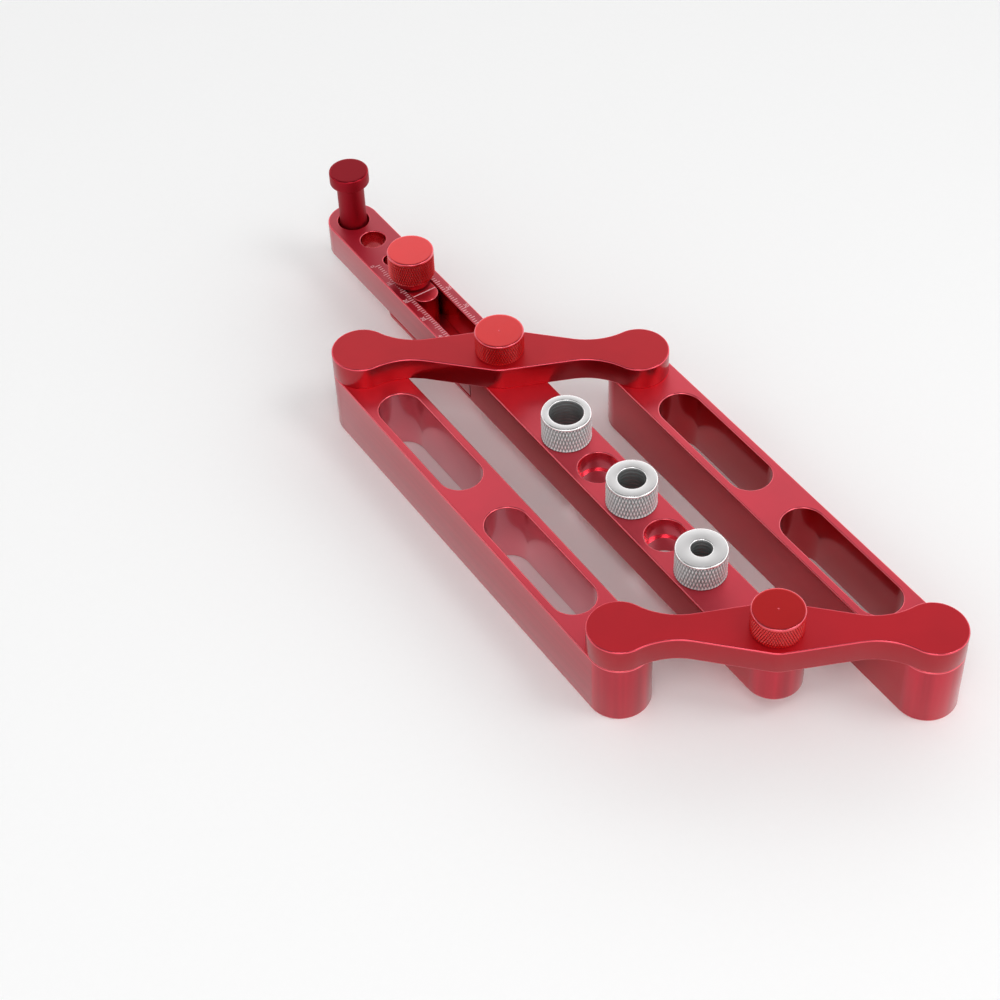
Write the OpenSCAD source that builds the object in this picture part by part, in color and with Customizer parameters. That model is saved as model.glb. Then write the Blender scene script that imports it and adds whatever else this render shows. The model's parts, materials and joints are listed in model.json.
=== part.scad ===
// Self centring doweling jig.
// Two clamp bars close evenly on a board through two arms that pivot on a middle guide bar.
// Drill bushes stand in the guide bar, and a sliding rule with a locating pin spaces a row of dowels.
// Lengths are in millimetres. X runs along the guide bar to its front, Y to the right clamp bar, Z up.
// The origin is on the axis of the middle guide hole, level with the top faces of the bars.

/* [Linkage] */
// Distance between the two end pivots of an arm
arm_span = 82.4; // [78:0.2:100]
// Distance along the guide bar between the two arm pivots
pivot_span = 131; // [126:1:150]
// How far the middle of the two arm pivots lies behind the middle guide hole
pivot_shift = 1; // [0:0.5:3]
// Angle between an arm and the guide bar as the jig stands
rest_angle = 54.5; // [35:0.5:90]

/* [Arms] */
// Thickness of an arm
arm_t = 7.8; // [7:0.2:10]
// Width of an arm across its round ends
arm_end_w = 18; // [17:0.5:20]
// Width of an arm across its round middle
arm_hub_w = 18; // [16:0.5:20]
// Width of an arm at its two waists
arm_waist_w = 8.9; // [7:0.1:12]
// Radius that blends a waist into the round end
arm_blend_r = 20; // [15:1:24]

/* [Clamp bars] */
// Height of a clamp bar
clamp_h = 20.4; // [19:0.2:30]
// Width of a clamp bar, round at both ends
clamp_w = 18; // [17:0.5:20]
// Width of the two long slots in a clamp bar
slot_w = 13; // [8:0.5:14]
// Solid land between the two slots
slot_land = 11.4; // [6:0.2:20]
// Distance from the outer end of a slot to the pivot beside it
slot_end_gap = 14.8; // [12:0.2:20]

/* [Guide bar] */
// Width of the guide bar, round at its front end
guide_w = 16.5; // [16.5:0.5:20]
// Height of the guide bar
guide_h = 12.5; // [12:0.5:16]
// Distance between neighbouring guide holes
guide_pitch = 16; // [16:0.5:20]
// Diameter of the seat that a drill bush drops into
seat_d = 12; // [11.8:0.1:12.6]
// Depth of that seat
seat_depth = 7; // [5:0.5:9]
// Diameter of the drill clearance hole below the seat
drill_clear_d = 10.6; // [10.4:0.1:11]
// How far the full height of the guide bar runs on behind the rear pivot
shoulder_back = 4.5; // [4:0.5:10]
// Thickness of the thin tail that carries the rule
tail_t = 1.4; // [1:0.2:4]

/* [Drill bushes] */
// Diameter of the knurled head of a bush
bush_head_d = 14.8; // [14:0.2:15.6]
// Height of that head
bush_head_h = 9.3; // [6:0.1:14]
// Bore of the large bush
bore_large = 10; // [8.2:0.2:10]
// Bore of the middle bush
bore_middle = 8; // [6:0.5:10]
// Bore of the small bush
bore_small = 6; // [3:0.5:8]

/* [Rule] */
// Width of the rule, round at its far end
rule_w = 16.4; // [15:0.2:16.4]
// Distance from the rear arm pivot back to the clamp knob of the rule
rule_knob_back = 49.8; // [46:0.2:60]
// Distance from that knob to the nearest pin hole
pin_hole_back = 11.7; // [10.5:0.1:20]
// Distance between neighbouring pin holes
pin_hole_pitch = 12; // [11:0.5:20]
// Diameter of the small pin hole
pin_hole_small = 6; // [4:0.5:7]
// Diameter of the middle pin hole
pin_hole_middle = 8; // [6:0.5:9]
// Diameter of the large pin hole, which holds the locating pin
pin_hole_large = 10; // [9.5:0.1:11]
// Width of the slot in the rule
rule_slot_w = 8.8; // [8:0.1:9.4]
// Solid end of the rule between its slot and the guide bar
rule_end_wall = 5; // [3:0.5:10]
// Distance between the centres of the round ends of the key that fills the slot
key_run = 7; // [6:0.5:14]
// How far the top of the key lies below the top of the rule
key_drop = 0.4; // [0.2:0.1:1]

/* [Locating pin] */
// Diameter of the head of the pin
pin_head_d = 12.5; // [12:0.1:14]
// Height of the head of the pin
pin_head_h = 4.3; // [3:0.1:8]
// Diameter of the neck below the head
pin_neck_d = 8.6; // [6:0.1:9]
// Height of the top of the pin above the rule
pin_rise = 20; // [14:0.5:30]
// Depth of the step between neck and locating end below the top of the rule
pin_step_drop = 2.5; // [1:0.5:6]

/* [Knobs] */
// Diameter of the two knobs on the arms
arm_knob_d = 14.7; // [12:0.1:17]
// Height of the knobs on the arms
arm_knob_h = 7.5; // [6:0.1:12]
// Diameter of the knob on the rule
rule_knob_d = 14.5; // [13:0.1:16]
// Height of the knob on the rule
rule_knob_h = 8.9; // [7:0.1:12]
// Diameter of the washer between that knob and the rails of the rule
rule_washer_d = 11.6; // [11:0.2:13]
// Thickness of that washer
rule_washer_t = 2.8; // [1:0.2:4]
// Diameter of the studs that clamp the arms
arm_stud_d = 6; // [4:0.5:6]
// Diameter of the stud that clamps the rule
rule_stud_d = 5; // [3:0.5:5]

/* [Pivot screws] */
// Diameter of the shoulder that a clamp bar turns on
shoulder_d = 8; // [6:0.5:8]
// Diameter of the thread that holds the screw in the arm
thread_d = 5; // [3:0.5:5.5]
// Length of that thread
thread_l = 5.5; // [4:0.5:5.5]
// Diameter of the screw's head
screw_head_d = 10; // [9:0.5:11]
// Height of the screw's head
screw_head_h = 4; // [3:0.5:6]
// Distance across the flats of the socket in the head
socket_af = 4; // [2.5:0.5:5]
// Outside diameter of the washer under the head
pivot_washer_d = 12; // [11:0.2:12.4]
// Thickness of that washer
pivot_washer_t = 1; // [0.6:0.2:2]
// How deep the screw's head sits inside the clamp bar
head_recess = 0.9; // [0.5:0.1:2]

/* [Fits and edges] */
// Radial clearance of what turns or slides in a round hole
running_gap = 0.05; // [0.02:0.01:0.1]
// Clearance of flat faces that slide on each other
sliding_gap = 0.1; // [0.05:0.01:0.2]
// Clearance at the two stops of the rule
stop_gap = 0.5; // [0.3:0.1:1]
// Radial clearance of a washer in its counterbore
washer_gap = 0.5; // [0.3:0.1:0.6]
// Chamfer on the edges of the bars and on the mouths of their slots
edge_chamfer = 0.4; // [0.2:0.1:0.8]
// Chamfer on knobs, bushes, screws and round holes
small_chamfer = 0.3; // [0.1:0.1:0.5]

/* [Hidden] */
$fn = 96;
// Overrun of every cut past the face it leaves through
over = 1;
// Number of guide holes, of which every other one holds a bush
guide_holes = 5;
// Places of the arm pivots along the guide bar
front_x = pivot_span / 2 - pivot_shift;
rear_x = -pivot_span / 2 - pivot_shift;
// Half the span of an arm, and its parts along and across the guide bar
arm_half = arm_span / 2;
arm_dx = arm_half * cos(rest_angle);
arm_dy = arm_half * sin(rest_angle);
// Centre of the circle that blends a waist into a round end, in the arm's own frame
blend_y = arm_waist_w / 2 + arm_blend_r;
blend_x = arm_half - sqrt(pow(arm_end_w / 2 + arm_blend_r, 2) - pow(blend_y, 2));
// Direction square to the straight flank, which touches both the hub and the blend circle
flank_angle = atan2(blend_y, blend_x)
    + acos((arm_hub_w / 2 + arm_blend_r) / norm([blend_x, blend_y]));
flank_dir = [cos(flank_angle), sin(flank_angle)];
end_dir = [blend_x - arm_half, blend_y] / norm([blend_x - arm_half, blend_y]);
hub_touch = arm_hub_w / 2 * flank_dir;
flank_touch = [blend_x, blend_y] - arm_blend_r * flank_dir;
end_touch = [arm_half, 0] + arm_end_w / 2 * end_dir;
// How far the hub and the blends pass the flanks that they touch, so that they cross cleanly
blend_bite = 0.02;
// Depth of the threaded hole in an arm's end, a little deeper than the thread
thread_hole_l = thread_l + small_chamfer;
// Distance between the centres of a slot's round ends, and from the middle of the bar to a slot's middle
slot_run = (pivot_span - slot_land) / 2 - slot_end_gap - slot_w;
slot_offset = (slot_land + slot_run + slot_w) / 2;
// Counterbore in the underside of a clamp bar, for the washer and the screw's head
counterbore_d = pivot_washer_d + 2 * washer_gap;
counterbore_h = head_recess + screw_head_h + pivot_washer_t + sliding_gap;
// Levels of the undersides of the clamp bars and of the guide bar
clamp_foot = -clamp_h;
guide_foot = -guide_h;
// The rule, its knob and its key along X
rule_knob_x = rear_x - rule_knob_back;
key_front_x = rule_knob_x + key_run;
shoulder_x = rear_x - shoulder_back;
rule_near_x = shoulder_x - stop_gap;
slot_far_x = rule_knob_x - stop_gap;
slot_near_x = rule_near_x - rule_end_wall - rule_slot_w / 2;
pin_hole_x = [for (i = [0:2]) rule_knob_x - pin_hole_back - i * pin_hole_pitch];
rule_foot = guide_foot + tail_t + sliding_gap;
rule_travel = slot_near_x - key_front_x - stop_gap;
// Width and depth of the index line cut across the key
index_w = small_chamfer;
index_depth = small_chamfer;
// Depth of a stud in its knob, and how far the stud ends above the face below it
stud_share = 0.65;
stud_stop = 1.2;
// Foot of the locating pin, level with the underside of the guide bar
pin_foot = guide_foot;
// Angles that the arms turn through from rest until a clamp bar meets the guide bar on either side
closed_gap = 0.4;
closed_angle = asin(((guide_w + clamp_w) / 2 + closed_gap) / arm_half);
echo(arm_close_deg = rest_angle - closed_angle, arm_open_deg = 180 - closed_angle - rest_angle);
echo(rule_travel = rule_travel, rear_x = rear_x, front_x = front_x, arm_dx = arm_dx, arm_dy = arm_dy);
echo(pin_hole_x = pin_hole_x, rule_knob_x = rule_knob_x, rule_foot = rule_foot);

// Half outline of a round bar from z0 to z1, chamfered at both ends
function bar_profile(r, z0, z1, c) =
    [[0, z0], [r - c, z0], [r, z0 + c], [r, z1 - c], [r - c, z1], [0, z1]];

// Half outline of a cut through a wall from z0 to z1, flared at both mouths
function cut_profile(r, z0, z1, c) =
    [[0, z0 - over], [r + c, z0 - over], [r + c, z0], [r, z0 + c], [r, z1 - c], [r + c, z1],
        [r + c, z1 + over], [0, z1 + over]];

// A profile carried round a circle and along a straight run, so its plan is a slot shape
module obround(run, profile) {
    for (side = [-1, 1])
        translate([side * run / 2, 0, 0]) rotate([0, 0, -90 * side])
            rotate_extrude(angle = 180) polygon(profile);
    straight(-run / 2, run / 2, profile);
}

// A half outline and its mirror image as one outline, without the points on the axis twice
function both_sides(half) =
    concat(half, [for (i = [len(half) - 1:-1:0]) if (half[i][0] > 0) [-half[i][0], half[i][1]]]);

// The same profile, both sides of its axis, carried straight from x0 to x1
module straight(x0, x1, profile) {
    translate([x0, 0, 0]) rotate([90, 0, 90]) linear_extrude(x1 - x0) polygon(both_sides(profile));
}

// A round hole cut at x, flared at both mouths
module hole(x, r, z0, z1, c) {
    translate([x, 0, 0]) rotate_extrude() polygon(cut_profile(r, z0, z1, c));
}

// Quarter of an arm's plate between the hub and an end: a straight flank, then a blend cut away
module arm_neck() {
    end_out = end_touch + over * end_dir;
    difference() {
        linear_extrude(arm_t) polygon([[0, 0], hub_touch, flank_touch, end_out, [arm_half, 0]]);
        rotate([0, 0, flank_angle - 90]) for (up = [0, 1]) flank_cut(up);
    }
}

// Wedge that chamfers the upper or lower edge of a flank, which lies at y = half the hub's width
module flank_cut(up) {
    flank = arm_hub_w / 2;
    edge = up * arm_t;
    away = 2 * up - 1;
    translate([-over, 0, 0]) rotate([90, 0, 90]) linear_extrude(arm_half)
        polygon([[flank + over, edge - away * (edge_chamfer + over)],
            [flank - edge_chamfer - over, edge + away * over], [flank + over, edge + away * over]]);
}

// Chamfered round plate
module arm_disc(r) {
    rotate_extrude() polygon(bar_profile(r, 0, arm_t, edge_chamfer));
}

// Arm: round hub and ends, four necks, a clear hole for the stud and a blind threaded hole under each end
module arm(x) {
    translate([x, 0, 0]) rotate([0, 0, rest_angle]) difference() {
        union() {
            arm_disc(arm_hub_w / 2 + blend_bite);
            for (side = [-1, 1]) translate([side * arm_half, 0, 0]) arm_disc(arm_end_w / 2);
            for (flip_x = [0, 1], flip_y = [0, 1])
                mirror([flip_x, 0, 0]) mirror([0, flip_y, 0]) arm_neck();
        }
        for (bx = [-blend_x, blend_x], by = [-blend_y, blend_y]) translate([bx, by, 0])
            rotate_extrude() polygon(cut_profile(arm_blend_r + blend_bite, 0, arm_t, edge_chamfer));
        translate([0, 0, -over]) cylinder(d = arm_stud_d + 2 * running_gap, h = arm_t + 2 * over);
        for (side = [-1, 1])
            translate([side * arm_half, 0, -over]) cylinder(d = thread_d, h = thread_hole_l + over);
    }
}

// Clamp bar with two slots and a counterbored pivot hole at each end
module clamp_bar(side) {
    translate([-pivot_shift + side * arm_dx, side * arm_dy, 0]) difference() {
        obround(pivot_span, bar_profile(clamp_w / 2, clamp_foot, 0, edge_chamfer));
        for (end = [-1, 1]) {
            translate([end * slot_offset, 0, 0])
                obround(slot_run, cut_profile(slot_w / 2, clamp_foot, 0, edge_chamfer));
            translate([end * pivot_span / 2, 0, clamp_foot - over])
                cylinder(d = shoulder_d + 2 * running_gap, h = clamp_h + 2 * over);
            translate([end * pivot_span / 2, 0, clamp_foot - over])
                cylinder(d = counterbore_d, h = counterbore_h + over);
        }
    }
}

// Guide bar: full height under the bushes, then a thin tail with the key that guides the rule
module guide_bar() {
    section = bar_profile(guide_w / 2, guide_foot, 0, edge_chamfer);
    difference() {
        union() {
            translate([front_x, 0, 0]) rotate([0, 0, -90]) rotate_extrude(angle = 180) polygon(section);
            straight(shoulder_x, front_x, section);
            straight(rule_knob_x, shoulder_x, tail_profile());
            translate([rule_knob_x, 0, 0]) rotate([0, 0, 90])
                rotate_extrude(angle = 180) polygon(tail_profile());
            translate([(rule_knob_x + key_front_x) / 2, 0, 0]) obround(key_run, key_profile());
        }
        for (i = [0:guide_holes - 1]) {
            x = (i - (guide_holes - 1) / 2) * guide_pitch;
            hole(x, drill_clear_d / 2, guide_foot, 0, small_chamfer);
            translate([x, 0, -seat_depth]) cylinder(d = seat_d, h = seat_depth + over);
            translate([x, 0, -small_chamfer])
                cylinder(d1 = seat_d, d2 = seat_d + 2 * small_chamfer, h = small_chamfer);
        }
        for (x = [rear_x, front_x])
            translate([x, 0, guide_foot - over])
                cylinder(d = arm_stud_d + 2 * running_gap, h = guide_h + 2 * over);
        translate([rule_knob_x, 0, guide_foot - over])
            cylinder(d = rule_stud_d + 2 * running_gap, h = guide_h + 2 * over);
        translate([key_front_x - index_w / 2, -rule_slot_w, -key_drop - index_depth])
            cube([index_w, 2 * rule_slot_w, index_depth + over]);
    }
}

// Half section of the thin tail
function tail_profile() =
    [[0, guide_foot], [guide_w / 2, guide_foot], [guide_w / 2, guide_foot + tail_t],
        [0, guide_foot + tail_t]];

// Half section of the key, from the tail up to just below the top of the rule
function key_profile() =
    [[0, guide_foot + tail_t], [rule_slot_w / 2 - sliding_gap, guide_foot + tail_t],
        [rule_slot_w / 2 - sliding_gap, -key_drop], [0, -key_drop]];

// Rule: round far end, three pin holes and the long slot that rides on the key
module rule() {
    section = bar_profile(rule_w / 2, rule_foot, 0, edge_chamfer);
    hole_d = [pin_hole_small, pin_hole_middle, pin_hole_large];
    difference() {
        union() {
            translate([pin_hole_x[2], 0, 0]) rotate([0, 0, 90])
                rotate_extrude(angle = 180) polygon(section);
            straight(pin_hole_x[2], rule_near_x, section);
        }
        translate([(slot_far_x + slot_near_x) / 2, 0, 0])
            obround(slot_near_x - slot_far_x, cut_profile(rule_slot_w / 2, rule_foot, 0, small_chamfer));
        for (i = [0:2]) hole(pin_hole_x[i], hole_d[i] / 2, rule_foot, 0, small_chamfer);
    }
}

// Locating pin: a close locating end in the hole, a thinner neck and a head to pull it by
module pin() {
    r = pin_hole_large / 2 - running_gap;
    neck = pin_neck_d / 2;
    head = pin_head_d / 2;
    c = small_chamfer;
    base = pin_rise - pin_head_h;
    translate([pin_hole_x[2], 0, 0]) rotate_extrude()
        polygon([[0, pin_foot], [r - 2 * c, pin_foot], [r, pin_foot + 2 * c],
            [r, -pin_step_drop - (r - neck)], [neck, -pin_step_drop], [neck, base - c],
            [head - c, base], [head, base + c], [head, pin_rise - 2 * c], [head - 2 * c, pin_rise],
            [0, pin_rise]]);
}

// Drill bush at one guide hole: knurled head on the bar, shank in the seat, bore right through
module bush(x, bore) {
    head = bush_head_d / 2;
    shank = seat_d / 2 - running_gap;
    foot = -seat_depth + sliding_gap;
    r = bore / 2;
    c = small_chamfer;
    translate([x, 0, 0]) rotate_extrude()
        polygon([[r + c, foot], [shank - c, foot], [shank, foot + c], [shank, 0], [head - c, 0], [head, c],
            [head, bush_head_h - 2 * c], [head - 2 * c, bush_head_h], [r + c, bush_head_h],
            [r, bush_head_h - c], [r, foot + c]]);
}

// Knob standing on level z, with a blind hole for its stud
module knob(x, z, d, h, stud_d) {
    translate([x, 0, z]) difference() {
        rotate_extrude() polygon(bar_profile(d / 2, 0, h, 2 * small_chamfer));
        translate([0, 0, -over]) cylinder(d = stud_d, h = stud_share * h + over);
    }
}

// Stud from inside a knob on level z down into the guide bar
module stud(x, z, h, d) {
    foot = guide_foot + stud_stop;
    c = small_chamfer;
    translate([x, 0, 0]) rotate_extrude()
        polygon([[0, foot], [d / 2 - c, foot], [d / 2, foot + c], [d / 2, z + stud_share * h],
            [0, z + stud_share * h]]);
}

// Places of the four pivots of the clamp bars
function pivot_at(end, side) = [-pivot_shift + end * pivot_span / 2 + side * arm_dx, side * arm_dy, 0];

// Shoulder screw from below: socket head in the counterbore, shoulder in the bar, thread in the arm
module pivot_screw(end, side) {
    foot = clamp_foot + head_recess;
    neck = foot + screw_head_h;
    head = screw_head_d / 2;
    c = small_chamfer;
    translate(pivot_at(end, side)) difference() {
        rotate_extrude()
            polygon([[0, foot], [head - c, foot], [head, foot + c], [head, neck], [shoulder_d / 2, neck],
                [shoulder_d / 2, 0], [thread_d / 2, 0], [thread_d / 2, thread_l - c],
                [thread_d / 2 - c, thread_l], [0, thread_l]]);
        translate([0, 0, foot - over])
            cylinder(d = socket_af / cos(30), h = screw_head_h / 2 + over, $fn = 6);
    }
}

// Plain washer between a screw's head and the floor of the counterbore
module pivot_washer(end, side) {
    translate(pivot_at(end, side) + [0, 0, clamp_foot + head_recess + screw_head_h])
        ring(pivot_washer_d, shoulder_d + 2 * running_gap, pivot_washer_t);
}

// Flat ring
module ring(outer, inner, t) {
    difference() {
        cylinder(d = outer, h = t);
        translate([0, 0, -over]) cylinder(d = inner, h = t + 2 * over);
    }
}

module centre_bar() { color("#bf3a49") guide_bar(); }
module left_bar() { color("#c8404f") clamp_bar(-1); }
module right_bar() { color("#c8404f") clamp_bar(1); }
module front_arm() { color("#b82228") arm(front_x); }
module rear_arm() { color("#b8323c") arm(rear_x); }
module front_knob() { color("#b01c1c") knob(front_x, arm_t, arm_knob_d, arm_knob_h, arm_stud_d); }
module front_stud() { color("#9a9a9c") stud(front_x, arm_t, arm_knob_h, arm_stud_d); }
module rear_knob() { color("#d44b4e") knob(rear_x, arm_t, arm_knob_d, arm_knob_h, arm_stud_d); }
module rear_stud() { color("#9a9a9c") stud(rear_x, arm_t, arm_knob_h, arm_stud_d); }
module rule_bar() { color("#bf3a49") rule(); }
module rule_knob() {
    color("#d44b4e") knob(rule_knob_x, rule_washer_t + sliding_gap, rule_knob_d, rule_knob_h, rule_stud_d);
}
module rule_stud() {
    color("#9a9a9c") stud(rule_knob_x, rule_washer_t + sliding_gap, rule_knob_h, rule_stud_d);
}
module rule_washer() {
    color("#8a1c22") translate([rule_knob_x, 0, sliding_gap])
        ring(rule_washer_d, rule_stud_d, rule_washer_t);
}
module locating_pin() { color("#8e1a22") pin(); }
module bush_10() { color("#8c8a88") bush(-2 * guide_pitch, bore_large); }
module bush_8() { color("#8c8a88") bush(0, bore_middle); }
module bush_6() { color("#8c8a88") bush(2 * guide_pitch, bore_small); }
module front_left_screw() { color("#5a5a5c") pivot_screw(1, -1); }
module front_right_screw() { color("#5a5a5c") pivot_screw(1, 1); }
module rear_left_screw() { color("#5a5a5c") pivot_screw(-1, -1); }
module rear_right_screw() { color("#5a5a5c") pivot_screw(-1, 1); }
module front_left_washer() { color("#a8a8a6") pivot_washer(1, -1); }
module front_right_washer() { color("#a8a8a6") pivot_washer(1, 1); }
module rear_left_washer() { color("#a8a8a6") pivot_washer(-1, -1); }
module rear_right_washer() { color("#a8a8a6") pivot_washer(-1, 1); }

centre_bar();
left_bar();
right_bar();
front_arm();
rear_arm();
front_knob();
front_stud();
rear_knob();
rear_stud();
rule_bar();
rule_knob();
rule_stud();
rule_washer();
locating_pin();
bush_10();
bush_8();
bush_6();
front_left_screw();
front_right_screw();
rear_left_screw();
rear_right_screw();
front_left_washer();
front_right_washer();
rear_left_washer();
rear_right_washer();
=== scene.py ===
import json
import math

import bpy
import numpy as np
from bpy.props import FloatProperty, FloatVectorProperty, IntProperty, PointerProperty
from mathutils import Matrix, Vector
from mathutils.geometry import tessellate_polygon

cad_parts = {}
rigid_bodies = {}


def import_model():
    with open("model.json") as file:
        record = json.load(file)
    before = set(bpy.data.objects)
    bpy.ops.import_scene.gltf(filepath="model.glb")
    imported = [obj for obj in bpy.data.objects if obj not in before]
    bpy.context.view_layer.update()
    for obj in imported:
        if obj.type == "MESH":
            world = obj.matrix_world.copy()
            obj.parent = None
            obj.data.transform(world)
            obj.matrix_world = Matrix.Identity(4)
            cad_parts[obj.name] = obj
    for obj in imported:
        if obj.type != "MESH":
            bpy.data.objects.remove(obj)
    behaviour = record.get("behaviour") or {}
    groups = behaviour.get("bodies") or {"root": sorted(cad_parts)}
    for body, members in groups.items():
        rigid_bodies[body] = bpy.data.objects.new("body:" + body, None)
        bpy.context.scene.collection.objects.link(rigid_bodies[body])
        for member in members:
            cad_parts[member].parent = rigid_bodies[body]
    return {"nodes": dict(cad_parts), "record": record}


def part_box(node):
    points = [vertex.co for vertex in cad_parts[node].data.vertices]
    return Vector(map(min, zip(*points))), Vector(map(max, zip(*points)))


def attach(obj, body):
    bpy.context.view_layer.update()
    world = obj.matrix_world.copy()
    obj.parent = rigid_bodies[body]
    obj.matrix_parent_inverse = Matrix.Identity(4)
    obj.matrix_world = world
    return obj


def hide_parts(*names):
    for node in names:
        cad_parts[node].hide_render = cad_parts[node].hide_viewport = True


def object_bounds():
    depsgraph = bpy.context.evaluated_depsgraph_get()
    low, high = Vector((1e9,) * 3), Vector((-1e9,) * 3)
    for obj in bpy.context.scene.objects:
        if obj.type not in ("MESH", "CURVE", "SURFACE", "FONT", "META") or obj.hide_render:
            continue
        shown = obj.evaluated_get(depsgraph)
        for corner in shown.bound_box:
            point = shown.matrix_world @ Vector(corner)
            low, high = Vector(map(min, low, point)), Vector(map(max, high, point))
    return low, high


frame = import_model()
cad_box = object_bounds()

bl_info = {
    "name": "Self centring doweling jig",
    "version": (1, 0, 0),
    "blender": (4, 5, 0),
    "location": "3D View > Sidebar > Doweling Jig",
    "description": "Dresses the anodised bars, knurled knobs and steel bushes of a doweling jig",
    "category": "Object",
}

MM = 0.001
RECORD = frame["record"]
BODY_OF = {node: body for body, nodes in RECORD["behaviour"]["bodies"].items() for node in nodes}

# Lengths below this count as nothing
TINY = 1e-9
# Stretches of an outline that turn by less than this are shaded as one curve
SMOOTH_TURN = math.radians(30)
# Stretches in the rounding of an edge
EDGE_STEPS = 4
# Points in a half circle of a bar's outline, round a small hole, and round the axis for a diamond of a knurl
HALF_ROUND = 49
HOLE_POINTS = 72
DIAMOND_POINTS = 4
# Points in the end, the blend and the hub of an arm's outline
ARM_END, ARM_BLEND, ARM_HUB = 73, 17, 9
# Finishes of a piece, in the order of its material slots: faces, rounded edges and bores, then the knurl of a
# turned piece, or the milled sides, round ends and drawn sides of a flat one. The sides and ends each have a
# dye of their own, which paints the light and shade that way of facing takes
FACE, EDGE, BORE = 0, 1, 2
KNURL = 3
SIDE_PAINTED_SHADE, END_PAINTED_SHADE, DRAWN_SIDE_PAINTED_LIGHT = 3, 4, 5


# Outlines, in metres


def box(node):
    """Lowest and highest corner of a CAD node."""
    return [np.array(corner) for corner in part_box(node)]


def middle(node):
    """Centre in plan of a CAD node."""
    low, high = box(node)
    return (low[:2] + high[:2]) / 2


def radius_of(node):
    """Radius of a round CAD node."""
    low, high = box(node)
    return (high[0] - low[0]) / 2


def about(centre, half):
    """The two ends of a stretch that reaches half to either side of its centre."""
    return centre - half, centre + half


def arc(radius, start, end, count, centre=(0, 0)):
    """Points on an arc between two angles in degrees, both ends included.

    A point is the centre plus the radius times the cosine and the sine of its angle.
    """
    turn = np.radians(np.linspace(start, end, count))
    return np.array(centre) + radius * np.column_stack([np.cos(turn), np.sin(turn)])


def circle(radius, count, centre=(0, 0)):
    """Points of a whole circle, counter-clockwise, its first point once."""
    return arc(radius, 0, 360, count + 1, centre)[:-1]


def slot_outline(run, radius, centre=(0, 0)):
    """Two half circles whose centres lie run apart, and the straights between them, counter-clockwise."""
    right = arc(radius, -90, 90, HALF_ROUND, (run / 2, 0))
    return np.array(centre) + np.concatenate([right, -right])


def stretch_normals(path, closed):
    """Normals at the start and at the end of every stretch of a path, and its own one.

    A normal is the stretch's direction turned a quarter to the right. Where a path turns slightly, the two
    stretches share the mean of their normals, and at a corner each keeps its own.
    """
    step = np.roll(path, -1, 0) - path
    step = step if closed else step[:-1]
    across = np.column_stack([step[:, 1], -step[:, 0]])
    normal = across / np.maximum(np.linalg.norm(across, axis=1), TINY)[:, None]
    before = np.roll(normal, 1, 0)
    shared = normal + before
    shared /= np.maximum(np.linalg.norm(shared, axis=1), TINY)[:, None]
    smooth = np.einsum("ij,ij->i", normal, before) > math.cos(SMOOTH_TURN)
    smooth[0] &= closed
    start = np.where(smooth[:, None], shared, normal)
    end = np.roll(np.where(smooth[:, None], shared, before), -1, 0)
    return start, end, normal


def mitres(loop):
    """How far each point of a loop moves when every side of the loop moves out by one.

    It is the sum of the normals of the two sides that meet there, over one plus their dot product.
    """
    normal = stretch_normals(loop, True)[2]
    before = np.roll(normal, 1, 0)
    return (normal + before) / (1 + np.einsum("ij,ij->i", normal, before))[:, None]


def rounded(*corners):
    """Profile through corners of (distance out, height, radius, finish of the stretch that follows).

    A corner that turns by t is replaced by an arc of its radius r, from r * tan(t / 2) before it to as far
    after it. The finish may be one number, or one for each stretch of the outline. A row of the profile is
    (distance out, height, finish).
    """
    spots = np.array([complex(out, height) for out, height, _, _ in corners])
    apart = np.abs(np.diff(spots))
    heading = np.diff(spots) / apart
    rows = []
    for i, (_, _, radius, finish) in enumerate(corners):
        points = spots[i:i + 1]
        if radius and 0 < i < len(corners) - 1:
            turn = np.angle(heading[i] / heading[i - 1])
            start = spots[i] - heading[i - 1] * radius * math.tan(abs(turn) / 2)
            centre = start + 1j * math.copysign(radius, turn) * heading[i - 1]
            points = centre + (start - centre) * np.exp(1j * np.linspace(0, turn, EDGE_STEPS + 1))
        rows += [(point.real, point.imag, EDGE) for point in points[:-1]]
        rows.append((points[-1].real, points[-1].imag, finish))
    kept = [row for row, after in zip(rows, rows[1:]) if math.dist(row[:2], after[:2]) > TINY]
    return kept + rows[-1:]


def plate_edge(low, high, radius, finish):
    """Profile of an upright wall whose two edges are rounded over."""
    return rounded((-radius, low, 0, EDGE), (0, low, radius, finish), (0, high, radius, EDGE),
                   (-radius, high, 0, EDGE))


# Meshes, in metres


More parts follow.
